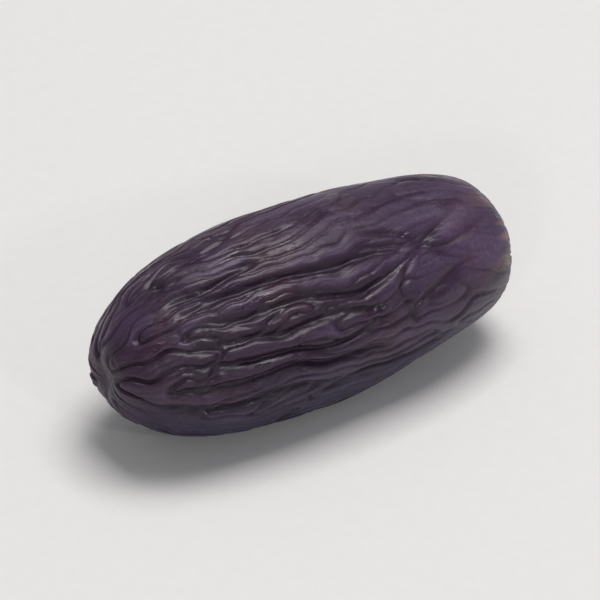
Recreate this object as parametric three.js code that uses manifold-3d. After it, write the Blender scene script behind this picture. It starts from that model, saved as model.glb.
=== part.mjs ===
// A dried date lying on its side, on the small flat that its own weight has pressed into it.
// Millimetres, +Z up. The origin is under the middle of the fruit, on the surface it rests on.
// The long axis runs along X: the pointed tip is at -X, and the stem end with its scar at +X.
// The fruit is one piece of skin and flesh that dried together, so it is one closed solid.

import * as THREE from "three";
import { mergeVertices } from "three/addons/utils/BufferGeometryUtils.js";
import Module from "manifold-3d";

// Driving dimensions, over the outside of the fruit.
const LENGTH = 46;
const WIDTH = 21;
const HEIGHT = 20;
const PRESSED_DEPTH = 0.35; // how far the resting flat is pressed into the round underside

// How the ends close. The radius follows a power of the sine: 1 is an ellipse, less is blunter.
const BLUNTNESS = 0.62;
const BLUNTER_STEM_END = 0.2; // taken off the power at the stem end, and added to it at the tip
const TAPER = 0.04; // the tip half is fuller than the stem half by this share

// The stem end is dimpled where the stalk came away, and the tip is drawn in a little.
const SCAR = { depth: 1.3, radius: 2.3 };
const TIP_PUCKER = { depth: 0.45, radius: 1.3 };

// Unevenness of the cross-section: waves around the fruit, as shares of the radius, each one
// turning a little on its way along the fruit.
const LOBES = [
  { waves: 2, share: 0.012, phase: 0.5, twist: 0.3 },
  { waves: 3, share: 0.014, phase: 1.9, twist: -0.7 },
  { waves: 5, share: 0.007, phase: 0.4, twist: 1.1 },
];

// The main creases that drying drew along the skin. turn is the angle around the long axis in
// degrees, 0 on top and 90 on the front. from and to run from -1 at the tip to 1 at the stem end.
const CREASES = [
  { turn: 17, from: -0.75, to: -0.1, depth: 0.3 },
  { turn: 33, from: -0.6, to: 0.38, depth: 0.5 },
  { turn: 50, from: -0.7, to: 0.3, depth: 0.6 },
  { turn: 63, from: -0.45, to: 0.2, depth: 0.45 },
  { turn: 76, from: -0.6, to: 0.3, depth: 0.5 },
  { turn: 91, from: -0.8, to: 0.35, depth: 0.55 },
  { turn: 112, from: -0.5, to: 0.75, depth: 0.45 },
  { turn: 226, from: -0.5, to: 0.6, depth: 0.5 },
  { turn: 252, from: -0.7, to: 0.2, depth: 0.6 },
  { turn: 271, from: -0.3, to: 0.7, depth: 0.5 },
  { turn: 293, from: -0.75, to: 0.45, depth: 0.65 },
  { turn: 318, from: -0.4, to: 0.7, depth: 0.45 },
  { turn: 341, from: -0.65, to: 0.3, depth: 0.4 },
];
const CREASE_WIDTH = 0.75; // from the middle of a crease to where it fades, in mm
const CREASE_FADE = 0.2; // the share of the half-length over which a crease's ends run out
const CREASE_SWAY = 3; // how far a crease wanders to each side, in degrees

const SKIN_AROUND = 80;
const SKIN_ALONG = 48;
const RINGS_AT_ENDS = 0.85; // how far the rings of the grid crowd towards the two ends

const MEAN_RADIUS = (WIDTH + HEIGHT) / 4;

function smoothstep(low, high, value) {
  return THREE.MathUtils.smoothstep(value, low, high);
}

// The depth of all creases at one place on the skin, in mm.
function creaseDepth(along, turn, radius) {
  let depth = 0;
  for (const crease of CREASES) {
    const sway = CREASE_SWAY * Math.sin(4 * along + crease.turn);
    const angle = THREE.MathUtils.degToRad(crease.turn + sway);
    const aside = radius * Math.atan2(Math.sin(turn - angle), Math.cos(turn - angle));
    const start = smoothstep(crease.from - CREASE_FADE, crease.from, along);
    const end = 1 - smoothstep(crease.to, crease.to + CREASE_FADE, along);
    depth += crease.depth * start * end * Math.exp(-((aside / CREASE_WIDTH) ** 2));
  }
  return depth;
}

// A ring's colatitude, crowded so that the blunt ends have as fine a grid as the flanks.
function crowded(colatitude) {
  return colatitude - (RINGS_AT_ENDS / 2) * Math.sin(2 * colatitude);
}

// A point of the skin. colatitude runs from 0 at the tip to PI at the stem end.
function skinPoint(colatitude, turn) {
  const along = -Math.cos(colatitude);
  const power = BLUNTNESS - BLUNTER_STEM_END * along;
  const swell = Math.sin(colatitude) ** power * (1 - TAPER * along);
  const lobes = LOBES.reduce(
    (sum, lobe) => sum + lobe.share * Math.cos(lobe.waves * turn + lobe.phase + lobe.twist * along),
    0,
  );
  const uncreased = MEAN_RADIUS * swell * (1 + lobes);
  const radius = uncreased - creaseDepth(along, turn, uncreased);
  const drawnIn = ({ depth, radius: reach }) => depth * Math.exp(-((radius / reach) ** 2));
  const x = (LENGTH / 2) * along + (along < 0 ? drawnIn(TIP_PUCKER) : -drawnIn(SCAR));
  return new THREE.Vector3(x, -radius * Math.sin(turn), radius * Math.cos(turn));
}

// The skin as a sphere's grid, with its poles at the fruit's ends and every point moved out to
// the skin, then stretched to the driving dimensions with the pressed depth below Z 0.
function roundFruit() {
  const grid = new THREE.SphereGeometry(1, SKIN_AROUND, SKIN_ALONG);
  grid.deleteAttribute("normal");
  grid.deleteAttribute("uv");
  const places = grid.getAttribute("position");
  const point = new THREE.Vector3();
  for (let i = 0; i < places.count; i++) {
    point.fromBufferAttribute(places, i);
    const colatitude = crowded(Math.acos(THREE.MathUtils.clamp(point.y, -1, 1)));
    places.setXYZ(i, ...skinPoint(colatitude, Math.atan2(point.z, point.x)));
  }
  grid.computeBoundingBox();
  const size = grid.boundingBox.getSize(new THREE.Vector3());
  grid.scale(LENGTH / size.x, WIDTH / size.y, (HEIGHT + PRESSED_DEPTH) / size.z);
  grid.computeBoundingBox();
  const middle = grid.boundingBox.getCenter(new THREE.Vector3());
  grid.translate(-middle.x, -middle.y, -grid.boundingBox.min.z - PRESSED_DEPTH);
  return mergeVertices(grid);
}

const wasm = await Module();
wasm.setup();

function toSolid(geometry) {
  const merged = mergeVertices(geometry);
  return new wasm.Manifold(
    new wasm.Mesh({
      numProp: 3,
      vertProperties: new Float32Array(merged.getAttribute("position").array),
      triVerts: new Uint32Array(merged.getIndex().array),
    }),
  );
}

function toGeometry(solid) {
  const mesh = solid.getMesh();
  return new THREE.BufferGeometry()
    .setAttribute("position", new THREE.BufferAttribute(mesh.vertProperties, 3))
    .setIndex(new THREE.BufferAttribute(mesh.triVerts, 1));
}

// Everything of the round fruit that lies below the surface it rests on is cut away.
function restingFruit() {
  const surface = new THREE.BoxGeometry(2 * LENGTH, 2 * WIDTH, HEIGHT);
  surface.deleteAttribute("normal");
  surface.deleteAttribute("uv");
  surface.translate(0, 0, -HEIGHT / 2);
  return toGeometry(toSolid(roundFruit()).subtract(toSolid(surface)));
}

const driedSkin = new THREE.MeshStandardMaterial({
  color: 0x38262f,
  roughness: 0.5,
  metalness: 0,
  flatShading: true,
});

const date = new THREE.Mesh(restingFruit(), driedSkin);
date.name = "date";

const part = new THREE.Group();
part.add(date);

export default part;
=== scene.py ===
"""A dried date with its wrinkled skin, on a pale studio floor.

The file is laid out as an add-on and is run as a script. Everything is in metres and +Z is up.
The fruit lies along X on the flat that its own weight has pressed into it, with its tip at -X
and its stem end, where the stalk's scar is, at +X.

A place on the skin is given in two ways. "along" runs from -1 at the tip to 1 at the stem end,
and "arc" is the way over the skin from the tip, in metres. "turn" is the angle around the long
axis, 0 on top and 90 degrees on the front, which is the -Y side.
"""

import math

import bpy
import numpy as np
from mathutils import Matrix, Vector


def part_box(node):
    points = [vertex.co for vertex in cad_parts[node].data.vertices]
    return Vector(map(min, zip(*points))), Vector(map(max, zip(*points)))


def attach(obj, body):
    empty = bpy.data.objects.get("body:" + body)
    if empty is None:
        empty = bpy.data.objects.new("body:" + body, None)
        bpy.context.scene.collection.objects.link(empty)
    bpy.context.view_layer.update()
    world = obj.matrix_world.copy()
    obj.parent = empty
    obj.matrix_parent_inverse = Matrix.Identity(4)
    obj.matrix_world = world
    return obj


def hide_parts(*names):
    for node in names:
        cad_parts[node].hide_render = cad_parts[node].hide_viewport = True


bl_info = {
    "name": "Dried Date",
    "version": (1, 0, 0),
    "blender": (4, 5, 0),
    "location": "3D View > Sidebar > Dried Date",
    "description": "Makes a dried date with a wrinkled skin, and a small studio to show it in",
    "category": "Mesh",
}

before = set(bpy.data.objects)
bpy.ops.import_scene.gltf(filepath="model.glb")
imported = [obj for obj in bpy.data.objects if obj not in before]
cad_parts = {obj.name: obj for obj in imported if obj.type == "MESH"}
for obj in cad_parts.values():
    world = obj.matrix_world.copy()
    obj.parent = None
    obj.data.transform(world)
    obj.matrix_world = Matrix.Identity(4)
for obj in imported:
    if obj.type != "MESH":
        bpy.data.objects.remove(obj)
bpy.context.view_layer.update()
DATE_LOW, DATE_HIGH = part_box("date")
DATE_SIZE = DATE_HIGH - DATE_LOW

MM = 0.001
FULL_TURN = 2 * math.pi


# ---------------------------------------------------------------------------------------------
# Sizes and colours that a user may change
# ---------------------------------------------------------------------------------------------


def length_property(name, description, default):
    return bpy.props.FloatProperty(
        name=name, description=description, default=default, min=0.0, unit="LENGTH", precision=5
    )


def share_property(name, description, default):
    return bpy.props.FloatProperty(
        name=name, description=description, default=default, min=0.0, max=1.0
    )


def colour_property(name, description, default):
    return bpy.props.FloatVectorProperty(
        name=name, description=description, default=default, size=3, min=0, max=1, subtype="COLOR"
    )


class DateShape(bpy.types.PropertyGroup):
    """Sizes of the fruit and of its wrinkles"""

    length: length_property("Length", "From the tip to the stem end", DATE_SIZE.x)
    width: length_property("Width", "Across the fruit as it lies", DATE_SIZE.y)
    height: length_property("Height", "From the surface it rests on to its top", DATE_SIZE.z)
    pressed: length_property("Pressed depth", "How far the resting flat is pressed in", 0.35 * MM)
    bluntness: share_property("Bluntness", "Power of the profile: 1 is an ellipse", 0.62)
    blunter_stem: share_property("Blunter stem end", "Taken off that power at the stem end", 0.2)
    taper: share_property("Taper", "How much fuller the tip half is", 0.04)
    ridge_spacing: length_property("Ridge spacing", "Between neighbouring ridges", 1.65 * MM)
    ridge_height: length_property("Ridge height", "From a valley's floor to a ridge", 0.46 * MM)
    fold_spacing: length_property("Fold spacing", "Between the broad folds", 3.8 * MM)
    fold_height: length_property("Fold height", "Depth of the broad folds", 0.2 * MM)
    fine_spacing: length_property("Fine spacing", "Between the small wrinkles", 0.75 * MM)
    fine_height: length_property("Fine height", "Height of the small wrinkles", 0.12 * MM)
    lip_height: length_property("Lip height", "Of the sharp lips beside valleys", 0.1 * MM)
    crease_depth: length_property("Crease depth", "Extra depth of the main creases", 0.22 * MM)
    dent_depth: length_property("Dent depth", "Depth of the broad hollows", 0.35 * MM)
    scar_radius: length_property("Scar radius", "Radius of the stalk's scar", 3.1 * MM)
    cells: bpy.props.IntProperty(
        name="Cells", description="Cells of the mesh across each end", default=104, min=16, max=160
    )
    seed: bpy.props.IntProperty(
        name="Seed", description="Another number gives another date", default=21, min=0
    )


class DateColours(bpy.types.PropertyGroup):
    """Colours of the dried skin, and of the shade and highlight painted on it"""

    skin: colour_property("Skin", "The dark skin", (0.029, 0.012, 0.032))
    ruddy: colour_property("Ruddy skin", "Where the skin is thin and warm", (0.052, 0.015, 0.019))
    # Painted shade: the near-black that the colour goes towards down in the wrinkles' valleys.
    valley_shade: colour_property("Valley", "Down in the wrinkles", (0.018, 0.008, 0.022))
    # Laid on the ridges as the waxy bloom, and partly as a painted highlight on the crests and lips.
    bloom: colour_property("Bloom", "The waxy bloom on the ridges", (0.165, 0.110, 0.222))
    # Painted shade: the blue-black that the colour goes towards on the lower part, where the underside
    # is in shade.
    underside_shade: colour_property("Rubbed skin", "Blue-black, where bloom has worn off", (0.018, 0.017, 0.050))
    scar: colour_property("Scar", "The corky ring at the stem end", (0.235, 0.130, 0.066))
    streak: colour_property("Streak", "Pale streaks beside the scar", (0.20, 0.13, 0.095))
    scar_core: colour_property("Scar core", "The stalk's torn core", (0.055, 0.022, 0.010))


class StudioSettings(bpy.types.PropertyGroup):
    """The floor, the lights and the camera"""

    floor: colour_property("Floor", "The pale floor", (0.80, 0.79, 0.785))
    lamp_power: bpy.props.FloatProperty(
        name="Lamp power", description="Multiplies the power of every lamp", default=1.0, min=0.0
    )
    azimuth: bpy.props.FloatProperty(
        name="Azimuth",
        description="The camera's way round the fruit, 0 looks along +Y",
        default=math.radians(-33.4),
        subtype="ANGLE",
    )
    elevation: bpy.props.FloatProperty(
        name="Elevation",
        description="The camera's height above the horizon",
        default=math.radians(35),
        subtype="ANGLE",
    )
    distance: length_property("Distance", "From the camera to the fruit", 0.45)
    lens: bpy.props.FloatProperty(name="Lens", description="Focal length, in mm", default=270)


# ---------------------------------------------------------------------------------------------
# The smooth fruit
# ---------------------------------------------------------------------------------------------

TIP_PUCKER = (0.45 * MM, 1.3 * MM)  # depth and radius of the drawn-in tip
STEM_DIMPLE = (1.3 * MM, 2.3 * MM)  # depth and radius of the hollow at the stem end

# Waves around the cross-section: how many, their share of the radius, and phase and twist.
LOBES = ((2, 0.012, 0.5, 0.3), (3, 0.014, 1.9, -0.7), (5, 0.007, 0.4, 1.1))


def smoothstep(low, high, value):
    t = np.clip((value - low) / (high - low), 0.0, 1.0)
    return t * t * (3 - 2 * t)


def bump(distance, reach):
    """1 at distance 0, fading to about a third at reach."""
    return np.exp(-((distance / reach) ** 2))


def rounded(distance, reach):
    """The distance, with its sharp turn at 0 rounded off over the reach."""
    return np.sqrt(distance**2 + reach**2) - reach


class Profile:
    """The outline from the tip to the stem end, in steps of equal length over the skin."""

    STEPS = 640
    CROWDING = 0.85  # how far the first samples crowd towards the ends

    def __init__(self, shape):
        even = np.linspace(0, math.pi, 8 * self.STEPS + 1)
        colatitude = even - self.CROWDING / 2 * np.sin(2 * even)
        along = -np.cos(colatitude)
        power = shape.bluntness - shape.blunter_stem * along
        swell = np.clip(np.sin(colatitude), 0, 1) ** power * (1 - shape.taper * along)
        radius = swell / swell.max() * (shape.width + shape.height + shape.pressed) / 4
        tip_depth, tip_radius = TIP_PUCKER
        stem_depth, stem_radius = STEM_DIMPLE
        x = shape.length / 2 * along
        x += np.where(along < 0, tip_depth * bump(radius, tip_radius), 0)
        x -= np.where(along > 0, stem_depth * bump(radius, stem_radius), 0)
        arc = np.concatenate(([0], np.cumsum(np.hypot(np.diff(x), np.diff(radius)))))
        self.length = arc[-1]
        self.arc = np.linspace(0, self.length, self.STEPS)
        self.step = self.length / (self.STEPS - 1)
        self.x = np.interp(self.arc, arc, x)
        self.radius = np.interp(self.arc, arc, radius)
        self.along = np.interp(self.arc, arc, along)

    def at(self, arc):
        """x, radius and along at these arcs."""
        return [np.interp(arc, self.arc, line) for line in (self.x, self.radius, self.along)]

    def arc_at(self, along):
        return np.interp(along, self.along, self.arc)


def smooth_points(profile, arc, turn):
    """Points of the fruit before it wrinkles, one row for each arc and turn."""
    x, radius, along = profile.at(arc)
    lobes = 1 + sum(
        share * np.cos(waves * turn + phase + twist * along)
        for waves, share, phase, twist in LOBES
    )
    return np.stack((x, -radius * lobes * np.sin(turn), radius * lobes * np.cos(turn)), axis=1)


# ---------------------------------------------------------------------------------------------
# The wrinkles, worked out on a grid of arc by turn
# ---------------------------------------------------------------------------------------------

COLUMNS = 1024  # around the fruit, from -180 to 180 degrees of turn
WAVES_AROUND = np.fft.rfftfreq(COLUMNS, d=1 / COLUMNS)

# The deepest creases as smooth lines, each through a few places (along, turn in degrees).
CREASES = (
    ((0.38, 40), (0.20, 35), (0.00, 34), (-0.20, 30), (-0.45, 27), (-0.70, 26)),
    ((0.40, 43), (0.25, 50), (0.08, 54), (-0.08, 49), (-0.22, 45), (-0.50, 44), (-0.62, 38)),
    ((0.14, 66), (-0.03, 61), (-0.19, 60), (-0.32, 61), (-0.47, 57), (-0.70, 53)),
    ((0.12, 73), (0.00, 78), (-0.15, 78), (-0.30, 73), (-0.51, 71), (-0.76, 66)),
    ((0.18, 93), (0.00, 90), (-0.16, 88), (-0.30, 82), (-0.54, 84), (-0.80, 80)),
    ((-0.33, 16), (-0.46, 16), (-0.58, 17), (-0.72, 14)),
    ((0.48, 40), (0.57, 45), (0.70, 42), (0.84, 36)),
    ((0.46, 41), (0.33, 52), (0.28, 64), (0.32, 80)),
    ((0.48, 38), (0.60, 31), (0.75, 22)),
    ((0.46, 37), (0.36, 27), (0.22, 22)),
    ((0.49, 41), (0.57, 52), (0.70, 60)),
    ((0.44, 38), (0.30, 33), (0.16, 30)),
    ((0.70, 60), (0.56, 63), (0.40, 71)),
    ((-0.60, 50), (-0.64, 44), (-0.62, 38)),
    ((-0.15, 103), (-0.35, 98), (-0.60, 101), (-0.85, 96)),
    ((0.55, 108), (0.30, 112), (0.05, 108), (-0.10, 112)),
)
CREASE_REACH = 1.15 * MM  # from the middle of a crease to the tops of the ridges beside it
CREASE_WALL = 0.28 * CREASE_REACH  # over which a crease's wall falls away
CREASE_BULGE = 0.6 * CREASE_REACH  # half the width of the bulge beside it
CREASE_FLOOR = 0.25 * MM  # over which its floor is rounded
CREASE_ENDS = (0.12, 0.4)  # how far its ends taper off: the start of the sine and its power
FULL_CREASE_LENGTH = 14 * MM  # shorter creases are shallower
LEAST_CREASE = 0.35  # strength of the shortest crease

# Where the skin wrinkles more or less: its place, its reach along and in degrees, and how much.
ROUGHNESS_PATCHES = (
    ((0.50, 0), (0.45, 55), -0.50),
    ((-0.15, 0), (0.35, 24), -0.28),
    ((-0.30, 100), (0.60, 25), 0.40),
    ((0.82, 70), (0.38, 70), -0.68),
    ((0.95, -120), (0.25, 110), -0.40),
    ((-0.55, 72), (0.50, 42), 0.60),
    ((0.05, 62), (0.35, 26), 0.30),
    ((0.52, 38), (0.14, 16), 0.55),
)
USUAL_AMOUNT = 0.88  # of wrinkling, before the patches
MORE_AT_CREASES = 0.4
LEAST_AMOUNT, MOST_AMOUNT = 0.16, 1.5
BARE_TIP = (0.5 * MM, 3.5 * MM)  # wrinkles come in between these radii at both ends
AROUND_SCAR = (0.9, 1.7)  # and between these shares of the scar's radius at the stem end

PUCKER_PLACE = (0.47, 39)  # where several creases meet in a small pit
PUCKER_REACH = (0.036, 5.5)  # along, and in degrees
PUCKER_DEPTH = 0.5 * MM
FINEST = 0.09 * MM  # wrinkles are blurred over this, as the mesh can carry nothing finer

# Soft random fields: reach along, reach around, and size.
MEANDERS = ((3.5 * MM, 4 * MM, 0.8 * MM), (0.8 * MM, 1.4 * MM, 0.22 * MM))
UNEVENNESS = ((4 * MM, 3 * MM, 0.22), (1.8 * MM, 0.8 * MM, 0.2))
DENTS = (3.6 * MM, 2.6 * MM, 1.0)
SCAR_FIBRES = (0.9 * MM, 0.16 * MM, 1.0)
STREAKS = (1.6 * MM, 0.35 * MM, 1.0)

# Valleys: how much their spacing varies, how far they run on, and in how many rounds they form.
RIDGE_PATTERN = {"spread": 0.46, "stretch": 1.3 * MM, "rounds": 4}
FOLD_PATTERN = {"spread": 0.5, "stretch": 3 * MM, "rounds": 3}
FINE_PATTERN = {"spread": 0.55, "stretch": 0.45 * MM, "rounds": 3}
SATURATION = 1.5  # how hard each round evens out the folds
VALLEY_FLOOR = 0.1  # how far a valley's floor is rounded
FINE_FLOOR = 0.15

# How full a ridge is between its valleys. A fuller ridge is flatter on top.
RIDGE_FULLNESS = 2.0
FOLD_FULLNESS = 1.2
FINE_FULLNESS = 1.8
RIDGE_TOP = 0.88  # where a usual ridge ends before it is brought to 1
BULGE_FULLNESS = 0.06  # what the bulge beside a crease adds to that
LIP_PLACE = (0.72, 0.28)  # where a ridge's sharp lip is on its side, and its reach
LIP_BESIDE_CREASE = 0.25

# The mean of each field, which stays at the height of the smooth fruit.
MEAN_RIDGE, MEAN_FOLD, MEAN_FINE = 0.75, 0.6, 0.6

# Painted shade: how far each field darkens the colour in its low places, and that of smooth skin.
LIP_SHADE, RIDGE_SHADE, FOLD_SHADE, FINE_SHADE = 0.28, 0.9, 0.2, 0.35
SMOOTH_SHADE = 0.8
MOST_SHADED = 1.2

# The stalk's scar. Radii are shares of the scar's own.
SCAR_LIP_HEIGHT = 0.22 * MM
SCAR_LIP_PLACE = (1.05, 0.2)  # radius and reach
SCAR_DISH_DEPTH = 0.2 * MM
SCAR_DISH_EDGE = (0.55, 0.95)
SCAR_CORE_HEIGHT = 0.55 * MM
SCAR_CORE_REACH = 0.24
SCAR_FIBRE_HEIGHT = 0.05 * MM
SCAR_FIBRE_EDGE = (1.5, 1.0)

# The pale streaks beside it.
STREAK_START = (0.9, 1.4)
STREAK_END = (2.8, 1.9)
STREAK_PLACE = (0.85, 70)  # along and turn, where they are strongest
STREAK_REACH = (0.3, 50)
STREAK_ELSEWHERE = 0.45
STREAK_CUT = (0.3, 1.6)


class SkinGrid:
    """Fields over the skin, with a row for each step of the profile and a column for each turn."""

    LEAST_RADIUS = 0.35 * MM  # the rows at the poles are taken to be this wide

    def __init__(self, profile):
        self.profile = profile
        self.radius = np.maximum(profile.radius, self.LEAST_RADIUS)[:, None]
        self.turn = (np.arange(COLUMNS) / COLUMNS - 0.5) * FULL_TURN

    def noise(self, rng):
        return rng.standard_normal((self.profile.STEPS, COLUMNS))

    def softened_along(self, field, reach):
        """Blurs along the fruit. Past an end, a line goes on down the opposite side."""
        over_the_ends = np.concatenate((field, np.roll(field[::-1], COLUMNS // 2, axis=1)))
        waves = np.fft.rfftfreq(len(over_the_ends), d=self.profile.step)
        keep = np.exp(-2 * (math.pi * reach * waves) ** 2)[:, None]
        softened = np.fft.irfft(np.fft.rfft(over_the_ends, axis=0) * keep, axis=0)
        return softened[: len(field)]

    def filtered_around(self, field, keep):
        return np.fft.irfft(np.fft.rfft(field, axis=1) * keep, n=COLUMNS, axis=1)

    def softened_around(self, field, reach):
        return self.filtered_around(
            field, np.exp(-0.5 * (WAVES_AROUND * reach / self.radius) ** 2)
        )

    def striped_around(self, field, spacing, spread):
        """Keeps the waves around the fruit whose spacing is near the wanted one."""
        wanted = np.maximum(FULL_TURN * self.radius / spacing, 2)
        return self.filtered_around(
            field, np.exp(-0.5 * ((WAVES_AROUND - wanted) / (spread * wanted)) ** 2)
        )

    def clouds(self, rng, reach_along, reach_around, size):
        """Soft random patches, which spread by their size about 0."""
        field = self.softened_around(self.noise(rng), reach_around)
        row_spread = np.sqrt((field**2).mean(axis=1, keepdims=True))
        field = self.softened_along(field / row_spread, reach_along)
        return size * field / field.std()

    def valleys(self, rng, spacing, spread, stretch, rounds):
        """A field that changes sign along wandering valleys that fork, pinch and close on
        themselves. Each round keeps the wanted spacing and evens out the folds between them."""
        field = self.noise(rng)
        for _ in range(rounds):
            field = self.softened_along(self.striped_around(field, 2 * spacing, spread), stretch)
            field = np.tanh(SATURATION * field / field.std())
        return field / field.std()

    def look_up(self, field, arc, turn):
        """The field's values at these places, blended from the four nearest."""
        row = np.clip(arc / self.profile.step, 0, self.profile.STEPS - 1.001)
        column = (turn / FULL_TURN + 0.5) * COLUMNS
        row_low, column_low = np.floor(row).astype(int), np.floor(column).astype(int)
        down, across = row - row_low, column - column_low
        left, right = column_low % COLUMNS, (column_low + 1) % COLUMNS
        upper = field[row_low, left] * (1 - across) + field[row_low, right] * across
        lower = field[row_low + 1, left] * (1 - across) + field[row_low + 1, right] * across
        return upper * (1 - down) + lower * down


def smooth_line(places, steps=180):
    """Points of a curve that passes through all the places, evenly divided between them."""
    points = np.array(places, float)
    before = np.vstack((2 * points[0] - points[1], points, 2 * points[-1] - points[-2]))
    t = np.linspace(0, len(points) - 1, steps)
    piece = np.minimum(t.astype(int), len(points) - 2)
    u = (t - piece)[:, None]
    a, b, c, d = (before[piece + k] for k in range(4))
    return 0.5 * (
        2 * b + (c - a) * u + (2 * a - 5 * b + 4 * c - d) * u**2 + (3 * b - a - 3 * c + d) * u**3
    )


def crease_marks(grid, meander):
    """How deep each place lies within the main creases, and how much it is beside one, where
    the skin bulges."""
    within = np.zeros((grid.profile.STEPS, COLUMNS))
    beside = np.zeros_like(within)
    for crease in CREASES:
        line = smooth_line(crease)
        arc = grid.profile.arc_at(line[:, 0])
        radius = grid.profile.at(arc)[1]
        turn = np.radians(line[:, 1])
        turn = turn + grid.look_up(meander, arc, turn) / radius
        end, power = CREASE_ENDS
        strength = np.sin(np.linspace(end, math.pi - end, len(line))) ** power
        strength = strength * min(1, LEAST_CREASE + np.ptp(arc) / FULL_CREASE_LENGTH)
        window = 3 * CREASE_REACH
        rows = np.flatnonzero(abs(grid.profile.arc - arc.mean()) < np.ptp(arc) / 2 + window)
        reach = window / radius.min()
        columns = np.flatnonzero((grid.turn > turn.min() - reach) & (grid.turn < turn.max() + reach))
        away = np.full((len(rows), len(columns)), np.inf)
        force = np.zeros_like(away)
        for k in range(len(line)):
            across = radius[k] * (grid.turn[columns] - turn[k])[None, :]
            distance = np.hypot(grid.profile.arc[rows][:, None] - arc[k], across)
            nearer = distance < away
            away = np.where(nearer, distance, away)
            force = np.where(nearer, strength[k], force)
        patch = np.ix_(rows, columns)
        groove = force * np.exp(-rounded(away, CREASE_FLOOR) / CREASE_WALL)
        bulge = force * bump(away - CREASE_REACH, CREASE_BULGE)
        within[patch] = np.maximum(within[patch], groove)
        beside[patch] = np.maximum(beside[patch], bulge)
    return within, beside


def around_place(along, turn, place, reach):
    """1 at a place on the skin, fading away from it over its reach along and in degrees."""
    aside = np.angle(np.exp(1j * (turn - math.radians(place[1]))))
    return bump(along - place[0], reach[0]) * bump(aside, math.radians(reach[1]))


def fullness(field, full):
    """0 on a valley's floor, rising towards 1 on the ridges."""
    return 1 - np.exp(-full * field)


def darkened(share, field):
    """1 on the ridges, and less by the share in the valleys."""
    return 1 - share * (1 - field)


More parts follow.
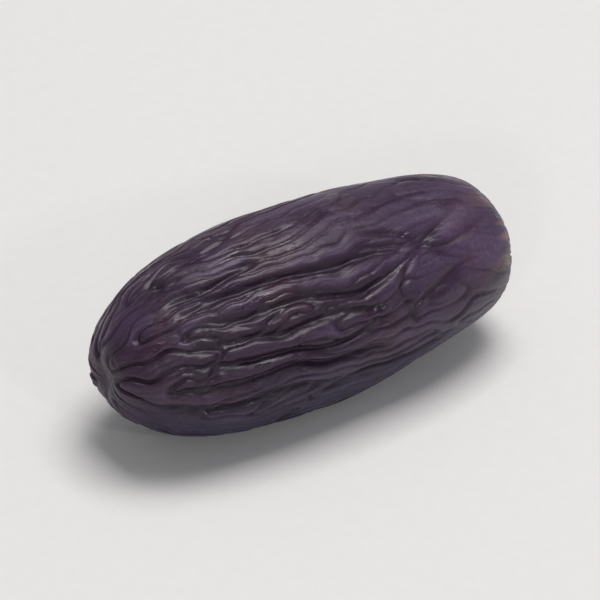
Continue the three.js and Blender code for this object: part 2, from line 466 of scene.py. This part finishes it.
class WrinkledSkin:
    """How high the dried skin stands at each place, and what of it the colours follow."""

    def __init__(self, shape, profile):
        rng = np.random.default_rng(shape.seed)
        self.shape = shape
        self.profile = profile
        self.grid = grid = SkinGrid(profile)
        self.meander = sum(grid.clouds(rng, *cloud) for cloud in MEANDERS)
        within, beside = crease_marks(grid, self.meander)
        signed = grid.valleys(rng, shape.ridge_spacing, **RIDGE_PATTERN)
        main = rounded(signed, VALLEY_FLOOR) + BULGE_FULLNESS * beside
        main = fullness(main, RIDGE_FULLNESS) / RIDGE_TOP * (1 - within)
        lip_at, lip_reach = LIP_PLACE
        lips = bump(signed - lip_at, lip_reach) * (1 - within) + LIP_BESIDE_CREASE * beside
        folds = grid.valleys(rng, shape.fold_spacing, **FOLD_PATTERN)
        self.folds = fullness(rounded(folds, VALLEY_FLOOR), FOLD_FULLNESS)
        fine = grid.valleys(rng, shape.fine_spacing, **FINE_PATTERN)
        fine = fullness(rounded(fine, FINE_FLOOR), FINE_FULLNESS)
        self.main = grid.softened_around(main, FINEST)
        self.lips = grid.softened_around(lips, FINEST)
        self.within = grid.softened_around(within, FINEST)
        self.fine = grid.softened_around(fine, FINEST)
        self.dents = grid.clouds(rng, *DENTS)
        self.unevenness = sum(grid.clouds(rng, *cloud) for cloud in UNEVENNESS)
        self.fibres = grid.clouds(rng, *SCAR_FIBRES)
        self.streaks = grid.clouds(rng, *STREAKS)

    def wrinkle_amount(self, arc, turn, along):
        amount = USUAL_AMOUNT + self.grid.look_up(self.unevenness, arc, turn)
        for place, reach, change in ROUGHNESS_PATCHES:
            amount = amount + change * around_place(along, turn, place, reach)
        return amount

    def scar_height(self, arc, turn, radius):
        """The stalk's scar: a ragged lip, a shallow fibrous dish and the torn core in it."""
        out = radius / self.shape.scar_radius
        lip_at, lip_reach = SCAR_LIP_PLACE
        lip = SCAR_LIP_HEIGHT * bump(out - lip_at, lip_reach)
        dish = SCAR_DISH_DEPTH * (1 - smoothstep(*SCAR_DISH_EDGE, out))
        core = SCAR_CORE_HEIGHT * bump(out, SCAR_CORE_REACH)
        fibres = SCAR_FIBRE_HEIGHT * self.grid.look_up(self.fibres, arc, turn)
        return lip - dish + core + fibres * smoothstep(*SCAR_FIBRE_EDGE, out)

    def heights(self, arc, turn):
        """Height over the smooth fruit, and the painted shade level, low in a valley and up to 1 on a
        ridge.
        """
        shape, grid = self.shape, self.grid
        _, radius, along = self.profile.at(arc)
        bent = turn + grid.look_up(self.meander, arc, turn) / np.maximum(radius, 1 * MM)
        crest, lip, near, fold, fine = (
            grid.look_up(field, arc, bent)
            for field in (self.main, self.lips, self.within, self.folds, self.fine)
        )
        amount = self.wrinkle_amount(arc, turn, along) + MORE_AT_CREASES * near
        amount = np.clip(amount, LEAST_AMOUNT, MOST_AMOUNT)
        to_ends = smoothstep(*BARE_TIP, radius)
        on_stem = along > 0
        scar_start, scar_end = (share * shape.scar_radius for share in AROUND_SCAR)
        clear_of_scar = np.where(on_stem, smoothstep(scar_start, scar_end, radius), 1)
        wrinkled = amount * to_ends * clear_of_scar
        height = shape.ridge_height * wrinkled * (crest - MEAN_RIDGE)
        height += shape.lip_height * wrinkled * lip
        height += shape.fold_height * wrinkled * (fold - MEAN_FOLD)
        height -= shape.crease_depth * near
        height += shape.fine_height * wrinkled * (fine - MEAN_FINE)
        height += shape.dent_depth / 2 * to_ends * grid.look_up(self.dents, arc, turn)
        height -= PUCKER_DEPTH * around_place(along, turn, PUCKER_PLACE, PUCKER_REACH)
        height += np.where(on_stem, self.scar_height(arc, turn, radius), 0)
        # Painted shade and highlight: darker down in the wrinkles, lighter on the ridges and their
        # lips.
        shade = darkened(LIP_SHADE, lip) * darkened(RIDGE_SHADE, crest)
        shade = shade * darkened(FOLD_SHADE, fold) * darkened(FINE_SHADE, fine)
        shaded = np.clip(amount, 0, MOST_SHADED) * clear_of_scar
        relief_shade = SMOOTH_SHADE + (shade - SMOOTH_SHADE) * shaded
        return height, np.clip(relief_shade, 0, 1)

    def stem_streaks(self, arc, turn):
        """Pale streaks that run out from the scar over the shoulder, most on the front."""
        _, radius, along = self.profile.at(arc)
        out = radius / self.shape.scar_radius
        band = smoothstep(*STREAK_START, out) * smoothstep(*STREAK_END, out) * (along > 0)
        front = around_place(along, turn, STREAK_PLACE, STREAK_REACH)
        streak = smoothstep(*STREAK_CUT, self.grid.look_up(self.streaks, arc, turn))
        return band * darkened(1 - STREAK_ELSEWHERE, front) * streak


# ---------------------------------------------------------------------------------------------
# The mesh
# ---------------------------------------------------------------------------------------------


def end_patch(cells):
    """A square grid drawn round: each square ring becomes a circle. Gives every point's ring,
    from 0 in the middle to 1 at the rim, and its turn."""
    steps = np.arange(-cells // 2, cells // 2 + 1)
    a, b = (side.ravel().astype(float) for side in np.meshgrid(steps, steps, indexing="ij"))
    ring = np.maximum(abs(a), abs(b))
    wide = abs(a) >= abs(b)
    with np.errstate(divide="ignore", invalid="ignore"):
        turn = np.where(
            wide,
            math.pi / 4 * b / np.where(a == 0, 1, a) + np.where(a < 0, math.pi, 0),
            math.pi / 2 - math.pi / 4 * a / np.where(b == 0, 1, b) + np.where(b < 0, math.pi, 0),
        )
    turn = np.where(ring == 0, 0, turn)
    return ring / (cells // 2), turn


def patch_faces(cells):
    rows = np.arange(cells)
    i, j = (side.ravel() for side in np.meshgrid(rows, rows, indexing="ij"))
    wide = cells + 1
    return np.stack((i * wide + j, (i + 1) * wide + j, (i + 1) * wide + j + 1, i * wide + j + 1), 1)


def skin_net(cells, cells_along, cap_arc, whole_arc):
    """The net of the skin: two round end patches joined by a tube. Gives each point's arc and
    turn, and the faces."""
    ring, turn = end_patch(cells)
    on_rim = np.flatnonzero(ring == 1)
    rim = on_rim[np.argsort(np.mod(turn[on_rim], FULL_TURN))]
    rim_turn = np.mod(turn[rim], FULL_TURN)
    count = len(ring)
    arcs = [ring * cap_arc, whole_arc - ring * cap_arc]
    turns = [turn, turn]
    caps = patch_faces(cells)
    faces = [caps[:, ::-1], caps + count]
    tube_rows = [rim]
    start = 2 * count
    for k in range(1, cells_along):
        arcs.append(np.full(len(rim), cap_arc + (whole_arc - 2 * cap_arc) * k / cells_along))
        turns.append(rim_turn)
        tube_rows.append(start + np.arange(len(rim)))
        start += len(rim)
    tube_rows.append(rim + count)
    for low, high in zip(tube_rows, tube_rows[1:]):
        faces.append(np.stack((low, np.roll(low, -1), np.roll(high, -1), high), 1))
    return np.concatenate(arcs), np.concatenate(turns), np.concatenate(faces)


def mesh_from(name, points, faces):
    mesh = bpy.data.meshes.new(name)
    mesh.vertices.add(len(points))
    mesh.vertices.foreach_set("co", points.astype(np.float32).ravel())
    mesh.loops.add(faces.size)
    mesh.loops.foreach_set("vertex_index", faces.astype(np.int32).ravel())
    mesh.polygons.add(len(faces))
    mesh.polygons.foreach_set("loop_start", np.arange(0, faces.size, 4, dtype=np.int32))
    mesh.update(calc_edges=True)
    mesh.validate()
    mesh.polygons.foreach_set("use_smooth", np.ones(len(faces), bool))
    return mesh


def vertex_normals(mesh):
    normals = np.empty(len(mesh.vertices) * 3, np.float32)
    mesh.vertex_normals.foreach_get("vector", normals)
    return normals.reshape(-1, 3).astype(float)


def add_attribute(mesh, name, values):
    attribute = mesh.attributes.new(name, "FLOAT", "POINT")
    attribute.data.foreach_set("value", values.astype(np.float32))


def fit_between(points, low, high):
    """Stretches the points so that they just fill the space between two corners."""
    was_low, was_high = points.min(axis=0), points.max(axis=0)
    return low + (points - was_low) / (was_high - was_low) * (high - low)


CONTACT_SOFTNESS = 0.12 * MM  # over which the skin rounds into the resting flat
CAP_SHARE = 0.125  # the share of the way over the skin that each end patch takes
CELL_LENGTH = 1.7  # of a cell along the fruit, against its width around it
NO_SCAR = 9  # the stem radius given to the tip half, well outside the scar


def make_skin_mesh(shape):
    profile = Profile(shape)
    cap_arc = CAP_SHARE * profile.length
    cell_around = FULL_TURN * profile.radius.max() / (4 * shape.cells)
    tube_arc = profile.length - 2 * cap_arc
    cells_along = round(tube_arc / (CELL_LENGTH * cell_around))
    arc, turn, faces = skin_net(shape.cells, cells_along, cap_arc, profile.length)
    points = smooth_points(profile, arc, turn)
    low = np.array((-shape.length / 2, -shape.width / 2, -shape.pressed))
    high = np.array((shape.length / 2, shape.width / 2, shape.height))
    points = fit_between(points, low, high)
    mesh = mesh_from("date_skin", points, faces)

    skin = WrinkledSkin(shape, profile)
    height, relief_shade = skin.heights(arc, turn)
    points = points + vertex_normals(mesh) * height[:, None]
    points = fit_between(points, low, high)
    lift = points[:, 2]
    points[:, 2] = (lift + np.sqrt(lift**2 + CONTACT_SOFTNESS**2)) / 2
    mesh.vertices.foreach_set("co", points.astype(np.float32).ravel())
    mesh.update()

    _, radius, along = profile.at(arc)
    # The painted shade level of the relief, which the finish uses to darken valleys and lighten
    # crests.
    add_attribute(mesh, "relief_shade", relief_shade)
    add_attribute(mesh, "stem_radius", np.where(along > 0, radius / shape.scar_radius, NO_SCAR))
    add_attribute(mesh, "stem_streak", skin.stem_streaks(arc, turn))
    return mesh


# ---------------------------------------------------------------------------------------------
# The finish of the skin
# ---------------------------------------------------------------------------------------------


# Sizes of the patterns in the skin's finish.
DRAWN_OUT = (0.35, 1, 1)  # patterns run longer along the fruit
RUDDY_PATCH = 9 * MM
BLOOM_PATCH = 6 * MM
BLOOM_GRAIN = 0.35 * MM
RUBBED_SPOT = 1.5 * MM
SCAR_RAG = 0.9 * MM
CORK_FIBRE = 0.5 * MM
CREPE = (0.45 * MM, 0.08 * MM)  # width and height of the finest wrinkles
PORES = (0.12 * MM, 0.012 * MM)

# Gloss.
BARE_ROUGHNESS, BLOOM_ROUGHNESS = 0.42, 0.52
RUBBED_GLOSS = -0.22  # rare rubbed spots are this much smoother
CORK_ROUGHNESS = 0.3  # the scar is this much rougher
SPECULAR = 0.35
WAX_COAT = (0.07, 0.14)  # weight and roughness of the skin's thin wax
CORK_FIBRE_SHADE = 0.45
PAPER_SHADE = 0.985
PAPER_TOOTH = 1.5 * MM


class Shader:
    """A material's nodes, with short ways to add the few kinds that the skin needs."""

    def __init__(self, name):
        self.material = bpy.data.materials.new(name)
        self.material.use_nodes = True
        self.tree = self.material.node_tree
        self.surface = self.tree.nodes["Principled BSDF"]

    def link(self, source, target):
        self.tree.links.new(source, target)

    def put(self, socket, value):
        if isinstance(value, bpy.types.NodeSocket):
            self.link(value, socket)
        else:
            socket.default_value = value

    def attribute(self, name):
        node = self.tree.nodes.new("ShaderNodeAttribute")
        node.attribute_name = name
        return node.outputs["Fac"]

    def position(self, stretch=(1, 1, 1)):
        """The place on the object, in metres, stretched so that patterns run long or short."""
        place = self.tree.nodes.new("ShaderNodeTexCoord")
        mapping = self.tree.nodes.new("ShaderNodeMapping")
        mapping.inputs["Scale"].default_value = stretch
        self.link(place.outputs["Object"], mapping.inputs["Vector"])
        return mapping.outputs["Vector"]

    def height_of(self, place):
        node = self.tree.nodes.new("ShaderNodeSeparateXYZ")
        self.link(place, node.inputs["Vector"])
        return node.outputs["Z"]

    def noise(self, place, feature, detail, roughness=0.5):
        node = self.tree.nodes.new("ShaderNodeTexNoise")
        node.inputs["Scale"].default_value = 1 / feature
        node.inputs["Detail"].default_value = detail
        node.inputs["Roughness"].default_value = roughness
        self.link(place, node.inputs["Vector"])
        return node.outputs["Fac"]

    def ramp(self, value, low, high, low_to=0.0, high_to=1.0):
        """Maps low..high onto low_to..high_to with a soft start and end."""
        node = self.tree.nodes.new("ShaderNodeMapRange")
        node.interpolation_type = "SMOOTHSTEP"
        self.put(node.inputs["Value"], value)
        node.inputs["From Min"].default_value = low
        node.inputs["From Max"].default_value = high
        node.inputs["To Min"].default_value = low_to
        node.inputs["To Max"].default_value = high_to
        return node.outputs["Result"]

    def maths(self, operation, first, second):
        node = self.tree.nodes.new("ShaderNodeMath")
        node.operation = operation
        self.put(node.inputs[0], first)
        self.put(node.inputs[1], second)
        return node.outputs[0]

    def mix(self, share, first, second):
        node = self.tree.nodes.new("ShaderNodeMix")
        node.data_type = "RGBA"
        self.put(node.inputs["Factor"], share)
        self.put(node.inputs["A"], first)
        self.put(node.inputs["B"], second)
        return node.outputs["Result"]

    def raised(self, height, depth, normal=None):
        node = self.tree.nodes.new("ShaderNodeBump")
        node.inputs["Strength"].default_value = 1.0
        node.inputs["Distance"].default_value = depth
        self.link(height, node.inputs["Height"])
        if normal is not None:
            self.link(normal, node.inputs["Normal"])
        return node.outputs["Normal"]


def opaque(colour):
    return (*colour, 1.0)


def dimmed(colour, share):
    return opaque([part * share for part in colour])


def skin_material(colours):
    """Dark skin, with painted shade in the wrinkles and towards the underside, greyed on the ridges
    by bloom that is partly a painted highlight, with the corky scar at the stem end."""
    shader = Shader("dried_skin")
    place = shader.position()
    drawn_out = shader.position(DRAWN_OUT)
    # The painted shade level of the relief: low in the wrinkles' valleys, 1 on the ridges.
    relief_shade = shader.attribute("relief_shade")

    ruddy_patches = shader.ramp(shader.noise(place, RUDDY_PATCH, 2), 0.48, 0.72, 0.0, 0.5)
    colour = shader.mix(ruddy_patches, opaque(colours.skin), opaque(colours.ruddy))

    patches = shader.ramp(shader.noise(drawn_out, BLOOM_PATCH, 4, 0.6), 0.32, 0.68, 0.35, 1.0)
    grain = shader.ramp(shader.noise(place, BLOOM_GRAIN, 3, 0.65), 0.3, 0.75, 0.55, 1.0)
    # Bloom on the ridges: partly the real bloom, partly a painted highlight where crests and lips
    # catch light.
    ridge_bloom_and_highlight = shader.ramp(relief_shade, 0.5, 1.0, 0.06, 0.95)
    bloom = shader.maths("MULTIPLY", shader.maths("MULTIPLY", patches, grain), ridge_bloom_and_highlight)
    colour = shader.mix(bloom, colour, opaque(colours.bloom))

    # Painted shade: darker and bluer towards the bottom of the fruit, where its underside is in shade.
    lowest, highest = 0.2 * DATE_SIZE.z, 0.6 * DATE_SIZE.z
    underside_shading = shader.ramp(shader.height_of(place), lowest, highest, 0.6, 0.0)
    colour = shader.mix(underside_shading, colour, opaque(colours.underside_shade))

    # Painted shade: the colour is darkened down in the wrinkles' valleys, where shade falls.
    valley_shading = shader.ramp(relief_shade, 0.12, 0.6, 0.75, 0.0)
    colour = shader.mix(valley_shading, colour, opaque(colours.valley_shade))

    stem_radius = shader.attribute("stem_radius")
    ragged = shader.noise(place, SCAR_RAG, 3, 0.6)
    ragged_radius = shader.maths("ADD", stem_radius, shader.maths("MULTIPLY", ragged, 0.6))
    in_scar = shader.ramp(ragged_radius, 1.15, 1.5, 1.0, 0.0)
    streak = shader.maths("MULTIPLY", shader.attribute("stem_streak"), 0.65)
    colour = shader.mix(streak, colour, opaque(colours.streak))
    fibres = shader.ramp(shader.noise(place, CORK_FIBRE, 4, 0.7), 0.35, 0.65)
    in_core = shader.ramp(stem_radius, 0.2, 0.5, 1.0, 0.0)
    cork = shader.mix(fibres, opaque(colours.scar), dimmed(colours.scar, CORK_FIBRE_SHADE))
    cork = shader.mix(in_core, cork, opaque(colours.scar_core))
    colour = shader.mix(in_scar, colour, cork)

    surface = shader.surface
    shader.link(colour, surface.inputs["Base Color"])
    rubbed = shader.ramp(shader.noise(drawn_out, RUBBED_SPOT, 3), 0.36, 0.44, RUBBED_GLOSS, 0.0)
    rough = shader.ramp(bloom, 0.05, 0.5, BARE_ROUGHNESS, BLOOM_ROUGHNESS)
    rough = shader.maths("ADD", rubbed, rough)
    rough = shader.maths("ADD", rough, shader.maths("MULTIPLY", in_scar, CORK_ROUGHNESS))
    shader.link(rough, surface.inputs["Roughness"])
    surface.inputs["Specular IOR Level"].default_value = SPECULAR
    coat_weight, coat_roughness = WAX_COAT
    surface.inputs["Coat Weight"].default_value = coat_weight
    surface.inputs["Coat Roughness"].default_value = coat_roughness

    crepe_width, crepe_height = CREPE
    pore_width, pore_height = PORES
    creping = shader.noise(drawn_out, crepe_width, 3, 0.6)
    pores = shader.noise(place, pore_width, 2, 0.6)
    normal = shader.raised(pores, pore_height)
    normal = shader.raised(creping, crepe_height, normal)
    shader.link(normal, surface.inputs["Normal"])
    return shader.material


def floor_material(colour):
    """Matt studio paper, with a faint tooth."""
    shader = Shader("studio_paper")
    place = shader.position()
    tooth = shader.ramp(shader.noise(place, PAPER_TOOTH, 3), 0.3, 0.7)
    paper = shader.mix(tooth, opaque(colour), dimmed(colour, PAPER_SHADE))
    shader.link(paper, shader.surface.inputs["Base Color"])
    shader.surface.inputs["Roughness"].default_value = 0.9
    shader.surface.inputs["Specular IOR Level"].default_value = 0.1
    return shader.material


# ---------------------------------------------------------------------------------------------
# The studio
# ---------------------------------------------------------------------------------------------

FLOOR_RINGS = (0.15, 0.4)  # radii of the rings of the level floor, inside its edge
FLOOR_RADIUS = 0.9  # of the level floor
RISE = 0.5  # radius of the curve by which the floor turns up all round
RISE_STEPS = 12
FLOOR_SEGMENTS = 96

# The lamps: name, place, size, power in watts and colour.
LAMPS = (
    ("soft_top", (0.16, 0.02, 0.78), (0.45, 0.45), 5.0, (1, 0.985, 0.97)),
    ("soft_front", (-0.60, -0.68, 0.40), (0.25, 0.2), 0.8, (0.97, 0.98, 1)),
    ("glint", (0.02, -0.62, 0.36), (0.035, 0.035), 0.34, (1, 1, 1)),
    ("tip_glint", (-0.45, -0.46, 0.34), (0.035, 0.035), 0.24, (1, 1, 1)),
)
SKY_COLOUR = (0.92, 0.93, 0.95, 1)
SKY_STRENGTH = 0.24


def make_floor_mesh():
    """A level round floor that curves up into a low wall all round."""
    bend = np.linspace(0, math.pi / 2, RISE_STEPS + 1)
    reach = np.concatenate((FLOOR_RINGS, FLOOR_RADIUS + RISE * np.sin(bend)))
    rise = np.concatenate((np.zeros(len(FLOOR_RINGS)), RISE * (1 - np.cos(bend))))
    turns = np.arange(FLOOR_SEGMENTS) / FLOOR_SEGMENTS * FULL_TURN
    points = [(0, 0, 0)]
    for radius, z in zip(reach, rise):
        points += [(radius * math.cos(t), radius * math.sin(t), z) for t in turns]
    faces = []
    for k in range(FLOOR_SEGMENTS):
        after = (k + 1) % FLOOR_SEGMENTS
        faces.append((0, 1 + k, 1 + after))
        for ring in range(len(reach) - 1):
            low, high = 1 + ring * FLOOR_SEGMENTS, 1 + (ring + 1) * FLOOR_SEGMENTS
            faces.append((low + k, high + k, high + after, low + after))
    mesh = bpy.data.meshes.new("studio_floor")
    mesh.from_pydata(points, [], faces)
    mesh.validate()
    mesh.polygons.foreach_set("use_smooth", [True] * len(mesh.polygons))
    return mesh


def link_to_scene(item):
    bpy.context.scene.collection.objects.link(item)
    return item


def aim(item, place, target):
    item.location = place
    item.rotation_euler = (Vector(target) - Vector(place)).to_track_quat("-Z", "Y").to_euler()


def add_lamp(name, place, size, power, colour, target):
    data = bpy.data.lights.new(name, "AREA")
    data.shape = "RECTANGLE"
    data.size, data.size_y = size
    data.energy = power
    data.color = colour
    aim(link_to_scene(bpy.data.objects.new(name, data)), place, target)


def direction(azimuth, elevation):
    """From the fruit towards a camera at these angles."""
    return Vector(
        (
            math.sin(azimuth) * math.cos(elevation),
            -math.cos(azimuth) * math.cos(elevation),
            math.sin(elevation),
        )
    )


class DATE_OT_make_skin(bpy.types.Operator):
    """Makes the dried date's wrinkled skin with its finish"""

    bl_idname = "dried_date.make_skin"
    bl_label = "Make Date"
    bl_options = {"REGISTER", "UNDO"}

    def execute(self, context):
        mesh = make_skin_mesh(context.scene.date_shape)
        mesh.materials.append(skin_material(context.scene.date_colours))
        skin = link_to_scene(bpy.data.objects.new("date_skin", mesh))
        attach(skin, "root")
        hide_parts("date")
        return {"FINISHED"}


class DATE_OT_make_studio(bpy.types.Operator):
    """Makes the pale floor, the soft lights and the camera"""

    bl_idname = "dried_date.make_studio"
    bl_label = "Make Studio"
    bl_options = {"REGISTER", "UNDO"}

    def execute(self, context):
        scene = context.scene
        studio = scene.date_studio
        floor = link_to_scene(bpy.data.objects.new("studio_floor", make_floor_mesh()))
        floor.data.materials.append(floor_material(studio.floor))

        middle = (DATE_LOW + DATE_HIGH) / 2
        for name, place, size, power, colour in LAMPS:
            add_lamp(name, place, size, power * studio.lamp_power, colour, middle)

        world = bpy.data.worlds.new("studio_air")
        world.use_nodes = True
        sky = world.node_tree.nodes["Background"]
        sky.inputs["Color"].default_value = SKY_COLOUR
        sky.inputs["Strength"].default_value = SKY_STRENGTH
        scene.world = world
        scene.view_settings.view_transform = "Standard"

        data = bpy.data.cameras.new("camera")
        data.lens = studio.lens
        data.clip_end = 10
        camera = link_to_scene(bpy.data.objects.new("camera", data))
        back = direction(studio.azimuth, studio.elevation)
        aim(camera, middle + back * studio.distance, middle)
        scene.camera = camera
        return {"FINISHED"}


class DATE_PT_panel(bpy.types.Panel):
    """Lists what makes the dried date and its studio"""

    bl_label = "Dried Date"
    bl_idname = "DATE_PT_panel"
    bl_space_type = "VIEW_3D"
    bl_region_type = "UI"
    bl_category = "Dried Date"

    def draw(self, context):
        layout = self.layout
        scene = context.scene
        for group in (scene.date_shape, scene.date_colours, scene.date_studio):
            box = layout.box()
            for name in group.bl_rna.properties.keys():
                if name not in ("rna_type", "name"):
                    box.prop(group, name)
        layout.operator(DATE_OT_make_skin.bl_idname)
        layout.operator(DATE_OT_make_studio.bl_idname)


CLASSES = (
    DateShape,
    DateColours,
    StudioSettings,
    DATE_OT_make_skin,
    DATE_OT_make_studio,
    DATE_PT_panel,
)


def register():
    for kind in CLASSES:
        bpy.utils.register_class(kind)
    bpy.types.Scene.date_shape = bpy.props.PointerProperty(type=DateShape)
    bpy.types.Scene.date_colours = bpy.props.PointerProperty(type=DateColours)
    bpy.types.Scene.date_studio = bpy.props.PointerProperty(type=StudioSettings)


def unregister():
    for name in ("date_shape", "date_colours", "date_studio"):
        delattr(bpy.types.Scene, name)
    for kind in reversed(CLASSES):
        bpy.utils.unregister_class(kind)


def main():
    register()
    bpy.ops.dried_date.make_skin()
    bpy.ops.dried_date.make_studio()
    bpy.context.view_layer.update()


if __name__ == "__main__":
    main()
